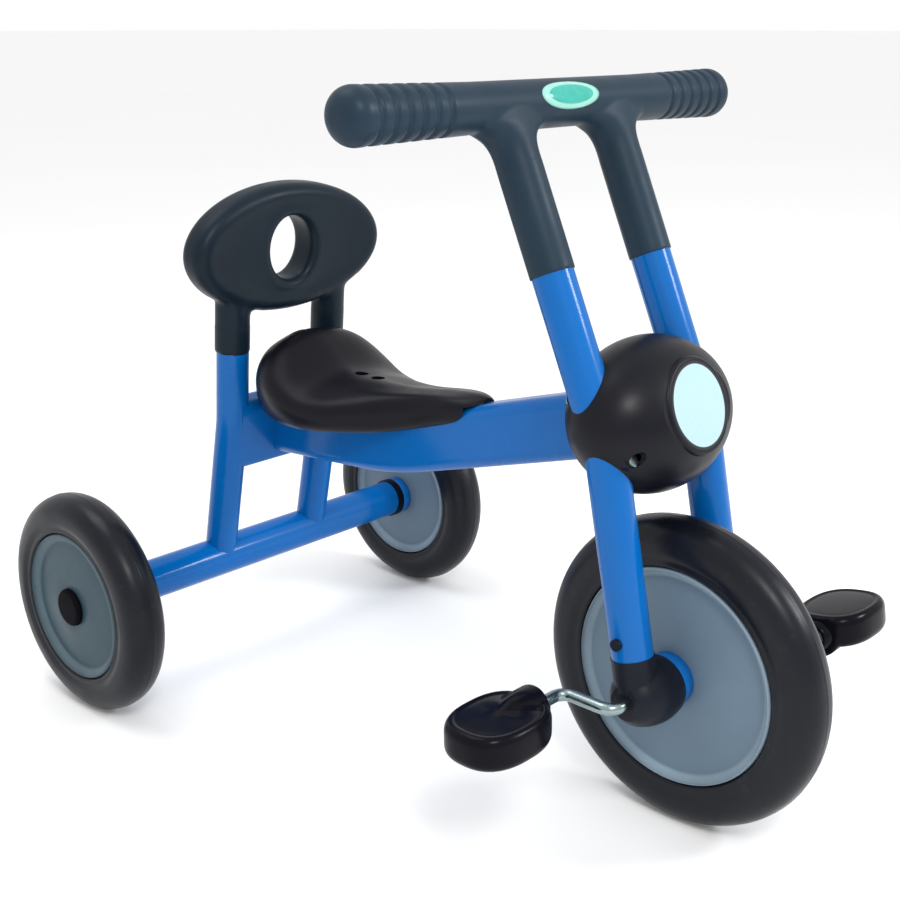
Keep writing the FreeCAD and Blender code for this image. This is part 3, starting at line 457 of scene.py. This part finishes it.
# ---- Wheel discs and hub flanges ----------------------------------------------------------------
# Points of a disc's section, each as its depth below the face and its distance in from the rim,
# or out from the bore for disc_middle.
disc_shoulder = ((3.0 * MM, 0.3 * MM), (1.6 * MM, 0.6 * MM), (0.6 * MM, 1.1 * MM))
disc_bevel = ((3.4 * MM, 5.0 * MM), (4.8 * MM, 6.2 * MM), (5.0 * MM, 7.2 * MM), (4.9 * MM, 9.0 * MM))
disc_middle = ((1.6 * MM, 16.0 * MM), (1.3 * MM, 1.0 * MM), (1.8 * MM, 0.0))
disc_lip_radius = 1.2 * MM
disc_lip_inset = 2.2 * MM
disc_rim_gap = 0.3 * MM
disc_back = 1.0 * MM
disc_turns = 192
front_disc_bore = 8 * MM
rear_disc_bore = 9 * MM
# The painted highlight on a disc's lip starts and is full at these distances in from the rim.
disc_lip_highlight_start = 6.5 * MM
disc_lip_highlight_full = 4.5 * MM
# The face colours of the discs, and the colours of the painted highlight on their lips. The outer faces of the
# rear wheels take a darker copy of both, as painted shade.
PALE_SHADES = ((0.105, 0.155, 0.205), (0.22, 0.29, 0.35))
PAINTED_SHADE_DISC_COLOURS = ((0.030, 0.058, 0.075), (0.085, 0.125, 0.15))

# A flange's radius is a share of the CAD one's, and it is sunk into the disc.
front_flange_share = 0.78
rear_flange_share = 0.82
flange_sink = 2.5 * MM
flange_bore = 6 * MM
flange_gap = 0.3 * MM
flange_round = 1.3 * MM
flange_recess = 0.5 * MM
flange_recess_shares = (0.62, 0.58)
flange_turns = 128


def disc_outline(rim, bore, face):
    """Half a wheel disc: a rounded rim lip, a bevel down to a shallow dish, and a raised middle."""
    outline = [(disc_back, bore), (disc_back, rim - disc_rim_gap)]
    outline += [(face - depth, rim - inset) for depth, inset in disc_shoulder]
    outline += arc((face - disc_lip_radius, rim - disc_lip_inset), disc_lip_radius, 75, -60, 9)
    outline += [(face - depth, rim - inset) for depth, inset in disc_bevel]
    outline += [(face - depth, bore + out) for depth, out in disc_middle]
    return outline


def disc_plastic_with_lip_highlight(name, colour, lip_highlight_and_scuff_colour, centre, rim):
    """Wheel disc plastic, with a painted highlight along its raised rim, and paler scuffs."""
    made = Shader(name, colour, 0.4, specular=0.2)
    made.tint(smudges(made, 9.0), [part * 1.3 for part in colour], share=0.5)
    edge = made.ramp(made.distance_from(centre), rim - disc_lip_highlight_start, rim - disc_lip_highlight_full)
    # Painted highlight: the lip colour, mixed in unevenly near the rim.
    made.tint(made.product(edge, made.ramp(smudges(made, 18.0), 0, 1, 0.65, 0.95)), lip_highlight_and_scuff_colour)
    made.tint(scuffs(made, 220.0, (1, 0.4, 1), 0.66, 0.78), lip_highlight_and_scuff_colour, share=0.12)
    made.rough(smudges(made, 26.0), 0.34, 0.48)
    made.bump(made.cells(1700.0), strength=0.10, distance=0.05 * MM)
    made.bump(made.noise(40.0), strength=0.05, distance=0.3 * MM)
    return made.material


def make_disc(node, body, centre, facing, bore, shades):
    rim = radius_of(node)
    face = reach_of(node, centre, facing)[1]
    material = disc_plastic_with_lip_highlight(node + "_plastic", *shades, centre, rim)
    mesh = lathe(node + "_moulding", disc_outline(rim, bore, face), centre, facing, disc_turns)
    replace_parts(add_piece(node + "_moulding", mesh, body, material), node)


def make_flange(node, body, centre, facing, share):
    """A stepped flange ring round a hub."""
    radius = radius_of(node) * share
    near, far = reach_of(node, centre, facing)
    near -= flange_sink
    recess_out, recess_in = flange_recess_shares
    outline = [(near, flange_bore), (near, radius - flange_gap)]
    outline += arc((far - flange_round, radius - flange_round), flange_round, 0, 90, 6)
    outline += [
        (far, radius * recess_out),
        (far - flange_recess, radius * recess_in),
        (far - flange_recess, flange_bore),
    ]
    mesh = lathe(node + "_ring", outline, centre, facing, flange_turns)
    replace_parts(add_piece(node + "_ring", mesh, body, HUB), node)


def make_wheels():
    make_tyre("front_tyre", "front_disc_left", "front_wheel", front_axle)
    for name, side in SIDES:
        make_disc("front_disc_" + name, "front_wheel", front_axle, side, front_disc_bore, PALE_SHADES)
        make_flange("front_hub_flange_" + name, "front_wheel", front_axle, side, front_flange_share)
        body, axle = "rear_wheel_" + name, rear_axles[name]
        make_tyre("rear_tyre_" + name, "rear_disc_outer_" + name, body, axle)
        # The outer discs take the darker copy of the disc colours, as painted shade.
        make_disc("rear_disc_outer_" + name, body, axle, side, rear_disc_bore, PAINTED_SHADE_DISC_COLOURS)
        make_disc("rear_disc_inner_" + name, body, axle, -side, rear_disc_bore, PALE_SHADES)
        make_flange("rear_hub_flange_" + name, body, axle, -side, rear_flange_share)


# ---- Pedals -------------------------------------------------------------------------------------
# Each block sits off its crank pin, and the boss for the pin shows on its thin side.
pedal_rise = {"left": 2.5 * MM, "right": -1.8 * MM}
pedal_turn = {"left": math.radians(-9), "right": 0.0}
pedal_half_depth = 11.3 * MM
pedal_squareness = 0.80
pedal_inner_gap = 4 * MM
pedal_steps = 120
pedal_weld = 0.02 * MM
# Rings of the block's skin from the middle of a face to its rounded edge, as the reach and the
# drop, both in shares. The dip at 0.80 is the line round the tread.
pedal_rings = (
    (0.0, 0.03),
    (0.3, 0.03),
    (0.6, 0.045),
    (0.76, 0.07),
    (0.80, 0.10),
    (0.82, 0.05),
    (0.85, 0.02),
)
pedal_edge_drop = 0.60
pedal_edge_steps = 8
# The boss starts at boss_start and swells over boss_run, both in shares of the block's length from
# its outer end. It takes only the levels past boss_level, and grows there by boss_fade.
pedal_boss_radius = 15.0 * MM
boss_start = 0.50
boss_run = 0.22
boss_level = 0.1
boss_fade = 1.5
# The collar round the pin: distances out from the pedal's inner end, with radii.
pedal_collar = (
    (-1.0 * MM, 4.6 * MM),
    (-1.0 * MM, 8.0 * MM),
    (0.4 * MM, 9.4 * MM),
    (9.0 * MM, 11.5 * MM),
    (14.0 * MM, 11.5 * MM),
    (14.0 * MM, 4.6 * MM),
)
collar_turns = 64


def smooth_step(value):
    value = max(0.0, min(1.0, value))
    return value * value * (3 - 2 * value)


def squared(value):
    """A sine or cosine, changed so that the oval it draws has fuller corners."""
    return math.copysign(abs(value) ** pedal_squareness, value)


def pedal_levels():
    """The rings from the top face to the bottom one, as the reach and the level, from 1 to -1."""
    rings = list(pedal_rings)
    reach, drop = rings[-1]
    for step in range(1, pedal_edge_steps + 1):
        angle = math.radians(90 * step / pedal_edge_steps)
        rings.append((reach + (1 - reach) * math.sin(angle), drop + pedal_edge_drop * (1 - math.cos(angle))))
    top = [(reach, 1 - drop) for reach, drop in rings]
    return top + [(1.0, 0.0)] + [(reach, -level) for reach, level in reversed(top)]


def make_pedal(name, side):
    """A rounded block whose boss for the crank pin swells out of one face near the inner end."""
    node = "pedal_" + name
    low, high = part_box(node)
    pin = joint_point(name + "_pedal_spin")
    inner, outer = sorted((abs(low.x), abs(high.x)))
    half_width = (high.y - low.y) / 2
    rise = pedal_rise[name]
    turn = Matrix.Rotation(pedal_turn[name], 3, "X")
    facing = -1 if rise > 0 else 1
    block_inner = inner + pedal_inner_gap
    middle_x = (block_inner + outer) / 2
    half_length = (outer - block_inner) / 2
    levels = pedal_levels()
    points = []
    for reach, level in levels:
        for step in range(pedal_steps):
            angle = 2 * math.pi * step / pedal_steps
            x = middle_x + squared(math.cos(angle)) * half_length * reach
            y = squared(math.sin(angle)) * half_width * reach
            z = rise + level * pedal_half_depth
            if level * facing > boss_level:
                share = (outer - x) / (outer - block_inner)
                swell = smooth_step((share - boss_start) / boss_run) * smooth_step(abs(level) * boss_fade)
                dome = math.sqrt(max(0.0, pedal_boss_radius ** 2 - y ** 2))
                z += facing * swell * max(0.0, dome - facing * z)
            points.append(pin + turn @ Vector((side * x - pin.x, y, z)))
    block = build_mesh(node + "_block", points, ring_faces(len(levels), pedal_steps), pedal_weld, rounds=1)
    outline = [(inner + out - abs(pin.x), radius) for out, radius in pedal_collar]
    collar = lathe(node + "_collar", outline, pin, side, collar_turns)
    black = MOULDINGS["glossy"]
    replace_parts(add_piece(node + "_block", block, name + "_pedal", black), node)
    add_piece(node + "_collar", collar, name + "_pedal", black)


# ---- Handlebar cover: a bar with ribbed ends and two stems that flare into it --------------------
bar_radius = 15.3 * MM
grip_radius = 17.2 * MM
grip_start = 78.0 * MM
bar_step = 0.5 * MM
bar_steps_round = 96
bar_end_round = 13.0 * MM
bar_end_step = 0.2 * MM
bar_end_steps = 16
bar_tip = 0.01 * MM
rib_first = 20.0 * MM
rib_pitch = 11.0 * MM
rib_count = 6
rib_half = 2.6 * MM
rib_depth = 1.6 * MM
rib_power = 1.5
riser_tilt = math.radians(23.1)
stem_radius = 14.3 * MM
stem_flare = 17.0 * MM
stem_length = 105.8 * MM
stem_step = 2.3 * MM
stem_slack = 0.1 * MM
# The join is smoothed from the first of these below the bar's middle to the second past the flare.
bar_join_margins = (5 * MM, 6 * MM)
bar_voxel = 0.8 * MM
bar_rounds = 2
bar_join_rounds = 24


def bar_outline(half_length):
    """Half of the bar's outline, from its middle to its end."""
    points = []
    x = 0.0
    while x < half_length - bar_end_round:
        share = max(0.0, (x - grip_start) / (half_length - grip_start))
        radius = bar_radius + (grip_radius - bar_radius) * share
        for index in range(rib_count):
            away = abs(x - (half_length - rib_first - index * rib_pitch)) / rib_half
            if away < 1:
                radius -= rib_depth * math.cos(math.pi / 2 * away) ** rib_power
        points.append((x, radius))
        x += bar_step
    round_centre = (half_length - bar_end_round, grip_radius - bar_end_step - bar_end_round)
    points += arc(round_centre, bar_end_round, 0, 90, bar_end_steps)
    points.append((half_length, bar_tip))
    return points


def make_handlebar():
    centre = middle("handlebar_tube")
    low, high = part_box("handlebar_cover")
    half = bar_outline((high.x - low.x) / 2)
    outline = [(-x, radius) for x, radius in reversed(half[1:])] + half
    across = Vector((1, 0, 0))
    down = Vector((0, -math.sin(riser_tilt), -math.cos(riser_tilt)))
    forward = across.cross(down)
    spots = [centre + across * x for x, radius in outline]
    radii = [(radius, radius) for x, radius in outline]
    shapes = [solid_tube(spots, radii, down, forward, bar_steps_round)]
    for name, side in SIDES:
        stem = centre + across * middle("fork_tube_" + name).x
        centres, halves = [], []
        reach = 0.0
        while reach < stem_length + stem_slack:
            into = max(0.0, bar_radius + stem_flare - max(reach, bar_radius))
            flare = stem_flare - math.sqrt(stem_flare ** 2 - into ** 2)
            centres.append(stem + down * reach)
            halves.append((stem_radius + flare, stem_radius))
            reach += stem_step
        shapes.append(solid_tube(centres, halves, across, forward))
    join_start, join_margin = bar_join_margins
    join_end = bar_radius + stem_flare + join_margin

    def near_stem(point):
        return join_start < (point - centre).dot(down) < join_end and abs(point.x) < grip_start

    mesh = moulded_union("handlebar_moulding", shapes, bar_voxel, bar_rounds, bar_join_rounds, near_stem)
    cover = add_piece("handlebar_moulding", mesh, "fork", MOULDINGS["grip"])
    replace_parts(cover, "handlebar_cover")
    make_badge(centre)


# The badge: an oval plate bent round the bar. A plate has half sizes across and round the bar, a
# height that it stands proud, and a thickness that is sunk into the bar.
badge_tilt = math.radians(24)
badge_rim_plate = (27.5 * MM, 9.6 * MM, 0.55 * MM, 1.0 * MM)
badge_field_plate = (23.0 * MM, 6.9 * MM, 0.85 * MM, 0.9 * MM)
badge_steps = 96
badge_rings = 10
badge_edge_power = 6
badge_weld = 0.01 * MM


def badge_layer(centre, half_x, half_turn, rise_at):
    """One face of the badge as rings from its middle to its edge, at rise_at(share) off the bar."""
    facing = Vector((0, -math.cos(badge_tilt), math.sin(badge_tilt)))
    up = Vector((0, math.sin(badge_tilt), math.cos(badge_tilt)))
    points = []
    for ring in range(badge_rings + 1):
        share = ring / badge_rings
        for step in range(badge_steps):
            angle = 2 * math.pi * step / badge_steps
            turn = half_turn * share * math.sin(angle) / bar_radius
            spoke = facing * math.cos(turn) + up * math.sin(turn)
            across = Vector((half_x * share * math.cos(angle), 0, 0))
            points.append(centre + across + spoke * (bar_radius + rise_at(share)))
    return points, ring_faces(badge_rings + 1, badge_steps)


def make_badge_plate(name, material, centre, plate):
    half_x, half_turn, proud, thick = plate
    front = badge_layer(
        centre, half_x, half_turn, lambda share: proud * math.sqrt(max(0.0, 1 - share ** badge_edge_power))
    )
    back = badge_layer(centre, half_x, half_turn, lambda share: -thick)
    points, faces = joined((front, back))
    edge = badge_rings * badge_steps
    back_edge = edge + len(front[0])
    for step in range(badge_steps):
        after = (step + 1) % badge_steps
        faces.append((edge + step, edge + after, back_edge + after, back_edge + step))
    mesh = build_mesh(name, points, faces, badge_weld)
    return add_piece(name, mesh, "fork", material)


def make_badge(centre):
    """A shallow domed oval badge that wraps the bar: a pale rim round a green field."""
    rim = make_badge_plate("badge_rim", ENAMEL_RIM, centre, badge_rim_plate)
    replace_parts(rim, "handlebar_badge")
    make_badge_plate("badge_field", ENAMEL, centre, badge_field_plate)


# ---- Backrest: a dished oval plate with a hand hole, on two sleeves that run up the uprights -----
backrest_height = 342.0 * MM
backrest_lean = math.radians(6)
plate_half = (90.5 * MM, 50.0 * MM)
plate_half_depth = 14.0 * MM
plate_round = 10.5 * MM
plate_dish = 1.2 * MM
plate_dish_power = 0.8
plate_curve = 1250.0 * MM
plate_steps = 144
plate_across = 14
hole_half = (20.5 * MM, 25.0 * MM)
hole_round = 6.0 * MM
round_steps = 6
sleeve_radius = 13.5 * MM
sleeve_end = 264.0 * MM
sleeve_steps = 20
# The sleeve keeps its radius up to this height below the plate's middle, and then narrows through
# these heights and radii inside the plate.
sleeve_top = -40 * MM
sleeve_taper = ((-36 * MM, 13.0 * MM), (-30 * MM, 12.2 * MM), (-24 * MM, 11.0 * MM))
# Where the plate and the sleeves join: the heights and the distances from the middle.
sleeve_join_heights = (-58 * MM, -26 * MM)
sleeve_join_sides = (26 * MM, 70 * MM)
backrest_voxel = 1.1 * MM
backrest_rounds = 5
backrest_join_rounds = 30


def oval(half, angle, offset):
    """A point on an ellipse, moved out along the ellipse's normal by offset."""
    x, z = half[0] * math.cos(angle), half[1] * math.sin(angle)
    normal = Vector((math.cos(angle) / half[0], math.sin(angle) / half[1])).normalized()
    return Vector((x + normal.x * offset, z + normal.y * offset))


def plate_half_section(angle, dish):
    """The plate's section from its rim to the hand hole, as places and depths off its mid plane."""
    half_section = []
    for turn in range(round_steps + 1):
        bend = math.radians(90 * turn / round_steps)
        spot = oval(plate_half, angle, -plate_round * (1 - math.cos(bend)))
        half_section.append((spot, plate_half_depth - plate_round + plate_round * math.sin(bend)))
    rim = oval(plate_half, angle, -plate_round)
    hole = oval(hole_half, angle, hole_round)
    for stop in range(1, plate_across):
        share = stop / plate_across
        depth = plate_half_depth - dish * math.sin(math.pi * share) ** plate_dish_power
        half_section.append((rim.lerp(hole, share), depth))
    for turn in range(round_steps + 1):
        bend = math.radians(90 - 90 * turn / round_steps)
        spot = oval(hole_half, angle, hole_round * (1 - math.cos(bend)))
        half_section.append((spot, plate_half_depth - hole_round + hole_round * math.sin(bend)))
    return half_section


def plate_shape(place):
    """The oval plate as a closed ring of sections from its rim to the hand hole and back."""
    points = []
    for step in range(plate_steps):
        angle = 2 * math.pi * step / plate_steps
        section = [(spot, -depth) for spot, depth in plate_half_section(angle, plate_dish)]
        section += reversed(plate_half_section(angle, 0.0))
        for spot, depth in section:
            points.append(place(Vector((spot.x, depth - spot.x ** 2 / (2 * plate_curve), spot.y))))
    return points, ring_faces(plate_steps, len(section), closed=True)


def make_backrest():
    mount = Vector(mounts["backrest_hand_hole"]["pos_m"])
    lean = Matrix.Rotation(backrest_lean, 3, "X")
    unlean = lean.inverted()

    def place(point):
        return mount + lean @ point

    def near_sleeve(point):
        spot = unlean @ (point - mount)
        low, high = sleeve_join_heights
        near, far = sleeve_join_sides
        return low < spot.z < high and near < abs(spot.x) < far

    shapes = [plate_shape(place)]
    bottom = (sleeve_end - backrest_height) / math.cos(backrest_lean)
    spots = []
    for step in range(sleeve_steps + 1):
        spots.append((bottom + (sleeve_top - bottom) * step / sleeve_steps, sleeve_radius))
    spots += sleeve_taper
    for name, side in SIDES:
        x = middle("upright_" + name).x
        centres = [place(Vector((x, 0, height))) for height, radius in spots]
        radii = [(radius, radius) for height, radius in spots]
        shapes.append(solid_tube(centres, radii, Vector((1, 0, 0)), lean @ Vector((0, 1, 0))))
    mesh = moulded_union(
        "backrest_moulding", shapes, backrest_voxel, backrest_rounds, backrest_join_rounds, near_sleeve
    )
    backrest = add_piece("backrest_moulding", mesh, "frame", MOULDINGS["backrest"])
    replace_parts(backrest, "backrest")


# ---- Finishes of the CAD nodes --------------------------------------------------------------------
# Every node without a row here is zinc-plated steel, or has been replaced.
FINISHES = (
    (BLUE, ("main_beam", "cross_member", "head_tube", "upright_*", "rear_axle_tube", "fork_tube_*")),
    (MOULDINGS["satin"], ("head_cover_front", "head_cover_rear")),
    (MOULDINGS["matt"], ("hub_cap_*",)),
    (MOULDINGS["seat"], ("seat", "axle_bush_*", "steering_bush_*", "crank_bush_*", "rear_wheel_bush_*")),
    (MOULDINGS["housing"], ("hub_housing_*",)),
    (printed_disc(), ("head_cover_disc",)),
)


def matches(node, pattern):
    return node.startswith(pattern[:-1]) if pattern.endswith("*") else node == pattern


def finish_of(name):
    for finish, patterns in FINISHES:
        if any(matches(name, pattern) for pattern in patterns):
            return finish
    return ZINC


def dress_frame():
    for name, node in nodes.items():
        node.data.materials.clear()
        node.data.materials.append(finish_of(name))


# ---- Stage ----------------------------------------------------------------------------------------
floor_half = 80.0
camera_place = (-0.6752, -0.6554, 0.5086)
camera_backward = (-0.7213, -0.6316, 0.2843)
camera_sensor = 36
camera_lens = 54.495
camera_shift = (-0.0789, -0.0262)


def make_stage():
    corners = [(-floor_half, -floor_half, 0), (floor_half, -floor_half, 0)]
    corners += [(floor_half, floor_half, 0), (-floor_half, floor_half, 0)]
    mesh = bpy.data.meshes.new("floor")
    mesh.from_pydata(corners, [], [(0, 1, 2, 3)])
    floor = bpy.data.objects.new("floor", mesh)
    bpy.context.scene.collection.objects.link(floor)
    made = Shader("pale_floor", (0.93, 0.93, 0.93), 0.8, specular=0.2)
    made.tint(made.ramp(made.noise(1.2), 0.3, 0.7, 0, 0.3), (0.90, 0.90, 0.90))
    floor.data.materials.append(made.material)
    floor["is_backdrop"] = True
    world = bpy.data.worlds.new("studio")
    world.use_nodes = True
    backdrop = world.node_tree.nodes["Background"]
    backdrop.inputs["Color"].default_value = (1.0, 1.0, 1.0, 1)
    backdrop.inputs["Strength"].default_value = 1.0
    bpy.context.scene.world = world
    bpy.context.scene.view_settings.view_transform = "Standard"


def add_light(name, place, target, side, power, colour):
    """A square area light whose sides are as long as side says, turned towards the target."""
    lamp = bpy.data.lights.new(name, "AREA")
    lamp.shape = "RECTANGLE"
    lamp.size = lamp.size_y = side
    lamp.energy = power
    lamp.color = colour
    light = bpy.data.objects.new(name, lamp)
    light.location = place
    light.rotation_euler = (Vector(place) - Vector(target)).to_track_quat("Z", "Y").to_euler()
    bpy.context.scene.collection.objects.link(light)


def make_lights():
    add_light("key", (-0.75, -1.25, 1.5), (0, -0.2, 0.25), side=0.45, power=14, colour=(1.0, 0.99, 0.97))
    add_light("front", (1.15, -1.7, 1.35), (0, -0.1, 0.3), side=0.5, power=24, colour=(0.93, 0.97, 1.0))
    add_light("top", (-0.4, 0.6, 1.9), (0, 0, 0.3), side=1.0, power=10, colour=(0.96, 0.98, 1.0))


def make_camera():
    """The viewpoint: ahead of the tricycle, to the rider's right and a little above."""
    camera = bpy.data.objects.new("camera", bpy.data.cameras.new("camera"))
    camera.location = camera_place
    camera.rotation_euler = Vector(camera_backward).to_track_quat("Z", "Y").to_euler()
    camera.data.sensor_width = camera_sensor
    camera.data.lens = camera_lens
    camera.data.shift_x, camera.data.shift_y = camera_shift
    bpy.context.scene.collection.objects.link(camera)
    bpy.context.scene.camera = camera


make_camera()
make_stage()
make_lights()
dress_frame()
make_wheels()
for name, side in SIDES:
    make_pedal(name, side)
make_handlebar()
make_backrest()

boxes = {"cad": cad_bounds, "visual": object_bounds()}
{key: [list(map(float, corner)) for corner in box] for key, box in boxes.items()}
